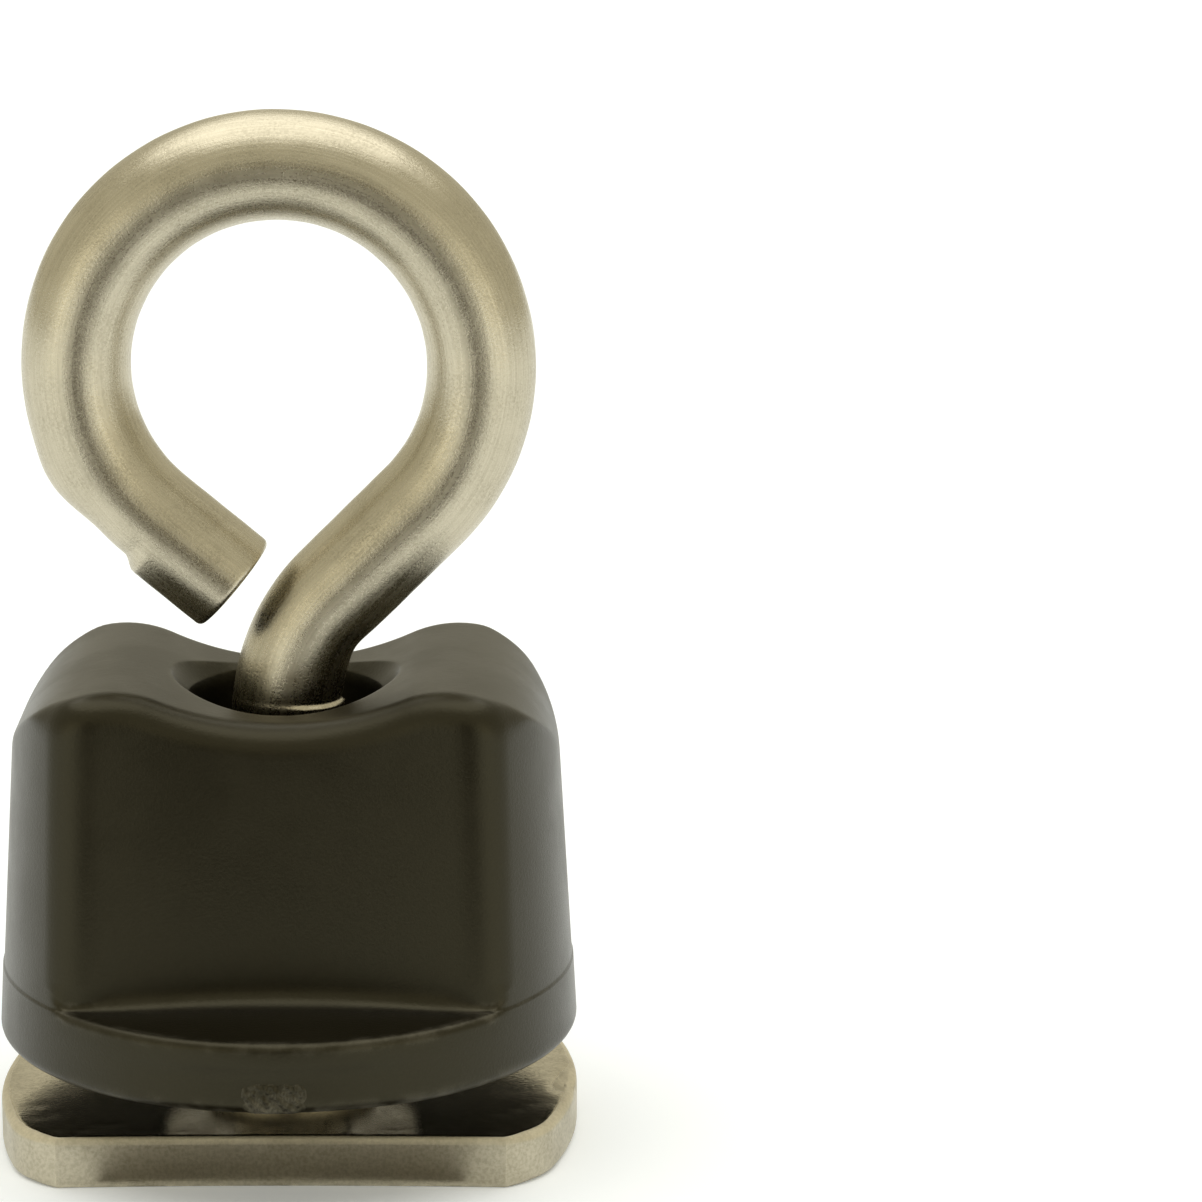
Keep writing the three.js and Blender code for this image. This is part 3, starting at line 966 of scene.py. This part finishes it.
def stamped_steel(grain_tree, edge_mask_tree):
    """Stamped and tumbled plate: even fine grain, upright shear marks and brighter edges, from rubbed wear
    and from a painted highlight band along the rounded top edge.
    """
    material, graph, shader, place = start_material("stamped steel")
    grain = place_group(graph, grain_tree, Vector=place, Grain_Size=0.0002, Blotch_Size=0.003)
    edge_mask = place_group(graph, edge_mask_tree, Vector=place, Reach=0.0003, Break_Up_Size=0.0008)
    shear = graph.noise(graph.scaled(place, (5000.0, 5000.0, 300.0)), 1.0, 3.0, 0.6)
    speckle = graph.remap(grain.outputs["Grain"], 0.35, 0.68)
    mottle = graph.remap(grain.outputs["Blotches"], 0.35, 0.7)
    share = graph.math("ADD", graph.math("MULTIPLY", speckle, 0.4), graph.math("MULTIPLY", mottle, 0.3))
    colour = graph.mix_colour(share, STEEL_LIGHT, STEEL_DARK)
    split = graph.node("ShaderNodeSeparateXYZ")
    graph.link(place, split.inputs[0])
    height = split.outputs["Z"]
    # A band round the rounded top edge is given a lighter colour: a painted highlight.
    rolled_top = graph.remap(height, (PLATE_TOP - 0.06) * MM, (PLATE_TOP - 0.01) * MM)
    upper_edge_step = graph.remap(height, (PLATE_TOP - 0.5) * MM, (PLATE_TOP - 0.38) * MM)
    painted_edge_highlight = graph.math("SUBTRACT", upper_edge_step, rolled_top, clamp=True)
    # Real rubbed wear on outside edges and the painted edge highlight both lighten the colour here.
    wear_and_highlight = graph.math("MAXIMUM", graph.math("MULTIPLY", painted_edge_highlight, 0.35), edge_mask.outputs["Mask"])
    graph.link(graph.mix_colour(wear_and_highlight, colour, RUBBED_AND_HIGHLIT_STEEL), shader.inputs["Base Color"])
    base_rough = graph.remap(mottle, 0.0, 1.0, 0.4, 0.46)
    side_rough = graph.math("ADD", base_rough, graph.math("MULTIPLY", upper_edge_step, 0.3))
    top_rough = graph.math("MULTIPLY", rolled_top, -0.6)
    graph.link(graph.math("ADD", side_rough, top_rough), shader.inputs["Roughness"])
    shader.inputs["Metallic"].default_value = 1.0
    fine = bump(graph, grain.outputs["Grain"], 0.8, 0.00001)
    graph.link(bump(graph, shear, 0.2, 0.00001, fine), shader.inputs["Normal"])
    return material


def turned_steel(name, grain_tree, light, dark):
    """Machined steel: faint rings round the axis."""
    material, graph, shader, place = start_material(name)
    grain = place_group(graph, grain_tree, Vector=place, Grain_Size=0.0002, Blotch_Size=0.003)
    flat = graph.node("ShaderNodeVectorMath", operation="MULTIPLY")
    graph.link(place, flat.inputs[0])
    flat.inputs[1].default_value = (1, 1, 0)
    radius = graph.node("ShaderNodeVectorMath", operation="LENGTH")
    graph.link(flat.outputs["Vector"], radius.inputs[0])
    marks = graph.noise(graph.math("MULTIPLY", radius.outputs["Value"], 9000.0), 1.0, 2.0, 0.5)
    speckle = graph.remap(grain.outputs["Grain"], 0.35, 0.7)
    colour = graph.mix_colour(graph.math("MULTIPLY", speckle, 0.35), light, dark)
    graph.link(colour, shader.inputs["Base Color"])
    graph.link(graph.remap(grain.outputs["Blotches"], 0.3, 0.7, 0.24, 0.36), shader.inputs["Roughness"])
    shader.inputs["Metallic"].default_value = 1.0
    graph.link(bump(graph, marks, 0.25, 0.00003), shader.inputs["Normal"])
    return material


def moulded_plastic(grain_tree, edge_mask_tree):
    """Satin black moulding: a fine spark texture, faint flow marks and rubbed corners, lightened partly as
    real wear and partly as a painted highlight.
    """
    material, graph, shader, place = start_material("moulded plastic")
    grain = place_group(graph, grain_tree, Vector=place, Grain_Size=0.00016, Blotch_Size=0.006)
    edge_mask = place_group(graph, edge_mask_tree, Vector=place, Reach=0.0009, Break_Up_Size=0.0012)
    speckle = graph.remap(grain.outputs["Grain"], 0.3, 0.75)
    blotches = graph.remap(grain.outputs["Blotches"], 0.3, 0.7)
    share = graph.math("ADD", graph.math("MULTIPLY", speckle, 0.4), graph.math("MULTIPLY", blotches, 0.3))
    colour = graph.mix_colour(share, PLASTIC_DARK, PLASTIC_LIGHT)
    # Outside edges are lightened: partly real rubbed wear, partly a painted highlight.
    wear_and_highlight = graph.math("MULTIPLY", edge_mask.outputs["Mask"], 0.6)
    colour = graph.mix_colour(wear_and_highlight, colour, RUBBED_AND_HIGHLIT_PLASTIC)
    graph.link(colour, shader.inputs["Base Color"])
    split = graph.node("ShaderNodeSeparateXYZ")
    graph.link(place, split.inputs[0])
    underside = graph.remap(split.outputs["Z"], (KNOB_BOTTOM + 0.3) * MM, (KNOB_BOTTOM + 0.02) * MM)
    base_rough = graph.remap(blotches, 0.0, 1.0, 0.29, 0.35)
    rough = graph.math("ADD", base_rough, graph.math("MULTIPLY", underside, 0.6))
    graph.link(rough, shader.inputs["Roughness"])
    shader.inputs["Specular IOR Level"].default_value = 0.40
    shader.inputs["Specular Tint"].default_value = PLASTIC_SHEEN
    graph.link(bump(graph, grain.outputs["Grain"], 0.5, 0.00003), shader.inputs["Normal"])
    return material


def plain_material(name, colour, roughness, glow=0.0):
    """One even colour; glow adds light of the same colour, as from a lit sheet."""
    material, _, shader, _ = start_material(name)
    shader.inputs["Base Color"].default_value = colour
    shader.inputs["Roughness"].default_value = roughness
    shader.inputs["Emission Color"].default_value = colour
    shader.inputs["Emission Strength"].default_value = glow
    return material


# ---- Floor, light and camera -----------------------------------------------------------------


def card(name, corners, material):
    """A flat sheet through its corners, given in metres."""
    mesh = bpy.data.meshes.new(name)
    mesh.from_pydata(corners, [], [tuple(range(len(corners)))])
    mesh.materials.append(material)
    sheet = bpy.data.objects.new(name, mesh)
    bpy.context.scene.collection.objects.link(sheet)
    return sheet


def flag(name, corners, material):
    """A dark card that shows only in shiny surfaces: the camera and the soft light pass through it."""
    sheet = card(name, corners, material)
    sheet.visible_camera = False
    sheet.visible_diffuse = False
    sheet.visible_shadow = False
    sheet.visible_transmission = False
    sheet.visible_volume_scatter = False


def build_stage():
    """White floor, and dark cards that the steel mirrors."""
    floor_paper = plain_material("floor paper", FLOOR_COLOUR, 0.9, FLOOR_GLOW)
    flag_cloth = plain_material("flag cloth", FLAG_COLOUR, 1.0)
    half = FLOOR_SIZE / 2
    card("floor", [(-half, -half, 0), (half, -half, 0), (half, half, 0), (-half, half, 0)], floor_paper)
    lift = 0.0002
    near, far = FLAG_NEAR, FLAG_FAR
    flag("floor_flag", [
        (-near[0], -near[1], lift), (-far[0], -far[1], lift),
        (far[0], -far[1], lift), (near[0], -near[1], lift),
    ], flag_cloth)
    flag("upright_flag", [
        (-far[0], -far[1], 0), (far[0], -far[1], 0),
        (far[0], -far[1], FLAG_TOP), (-far[0], -far[1], FLAG_TOP),
    ], flag_cloth)
    side, start, end = FOOT_FLAG
    flag("foot_flag", [
        (-side, -end, lift), (side, -end, lift), (side, -start, lift), (-side, -start, lift),
    ], flag_cloth)


def build_light():
    """An even white tent, a soft light overhead and a softbox on each side."""
    world = bpy.data.worlds.new("white tent")
    bpy.context.scene.world = world
    world.use_nodes = True
    background = world.node_tree.nodes["Background"]
    background.inputs["Color"].default_value = TENT_COLOUR
    background.inputs["Strength"].default_value = TENT_STRENGTH
    diffuser = bpy.data.lights.new("overhead_diffuser", "SUN")
    diffuser.angle = DIFFUSER_SPREAD
    diffuser.energy = DIFFUSER_STRENGTH
    diffuser.color = DIFFUSER_COLOUR
    lamp = bpy.data.objects.new("overhead_diffuser", diffuser)
    lamp.rotation_euler = DIFFUSER_TILT
    bpy.context.scene.collection.objects.link(lamp)
    for side in (-1, 1):
        strip = bpy.data.lights.new("side_softbox", "AREA")
        strip.shape = "RECTANGLE"
        strip.size, strip.size_y = SOFTBOX_SIZE
        strip.energy = SOFTBOX_POWER
        strip.color = SOFTBOX_COLOUR
        lamp = bpy.data.objects.new("side_softbox", strip)
        lamp.location = (side * SOFTBOX_PLACE[0], SOFTBOX_PLACE[1], SOFTBOX_PLACE[2])
        turn = math.atan2(side * SOFTBOX_PLACE[0], -SOFTBOX_PLACE[1])
        lamp.rotation_euler = (math.pi / 2, 0, turn)
        bpy.context.scene.collection.objects.link(lamp)
    bpy.context.scene.view_settings.view_transform = "Standard"


def build_camera():
    """The camera, aimed by its pitch, roll and heading."""
    data = bpy.data.cameras.new("camera")
    data.lens = CAMERA_LENS
    data.sensor_width = 36.0
    data.clip_start = 0.01
    camera = bpy.data.objects.new("camera", data)
    camera.location = (
        CAMERA_DISTANCE * math.sin(CAMERA_AZIMUTH),
        -CAMERA_DISTANCE * math.cos(CAMERA_AZIMUTH),
        CAMERA_HEIGHT,
    )
    camera.rotation_mode = "XYZ"
    camera.rotation_euler = (math.pi / 2 - CAMERA_PITCH, CAMERA_ROLL, CAMERA_AIM)
    bpy.context.scene.collection.objects.link(camera)
    bpy.context.scene.camera = camera


# ---- Assembly --------------------------------------------------------------------------------


def build_part():
    """Makes the finishes, then every piece."""
    grain_tree = surface_grain_group()
    edge_mask_tree = edge_wear_and_highlight_group()
    rod_steel = drawn_steel(grain_tree)
    plate_steel = stamped_steel(grain_tree, edge_mask_tree)
    washer_steel = turned_steel("turned washer steel", grain_tree, STEEL_LIGHT, STEEL_DARK)
    insert_steel = turned_steel("dulled insert steel", grain_tree, INSERT_LIGHT, INSERT_DARK)
    plastic = moulded_plastic(grain_tree, edge_mask_tree)
    eye_bolt(rod_steel)
    track_plate(plate_steel)
    spacer_washer(washer_steel)
    knob_insert(insert_steel)
    knob_body(plastic)
    gate_stub(plastic)


build_camera()
build_stage()
build_light()
build_part()
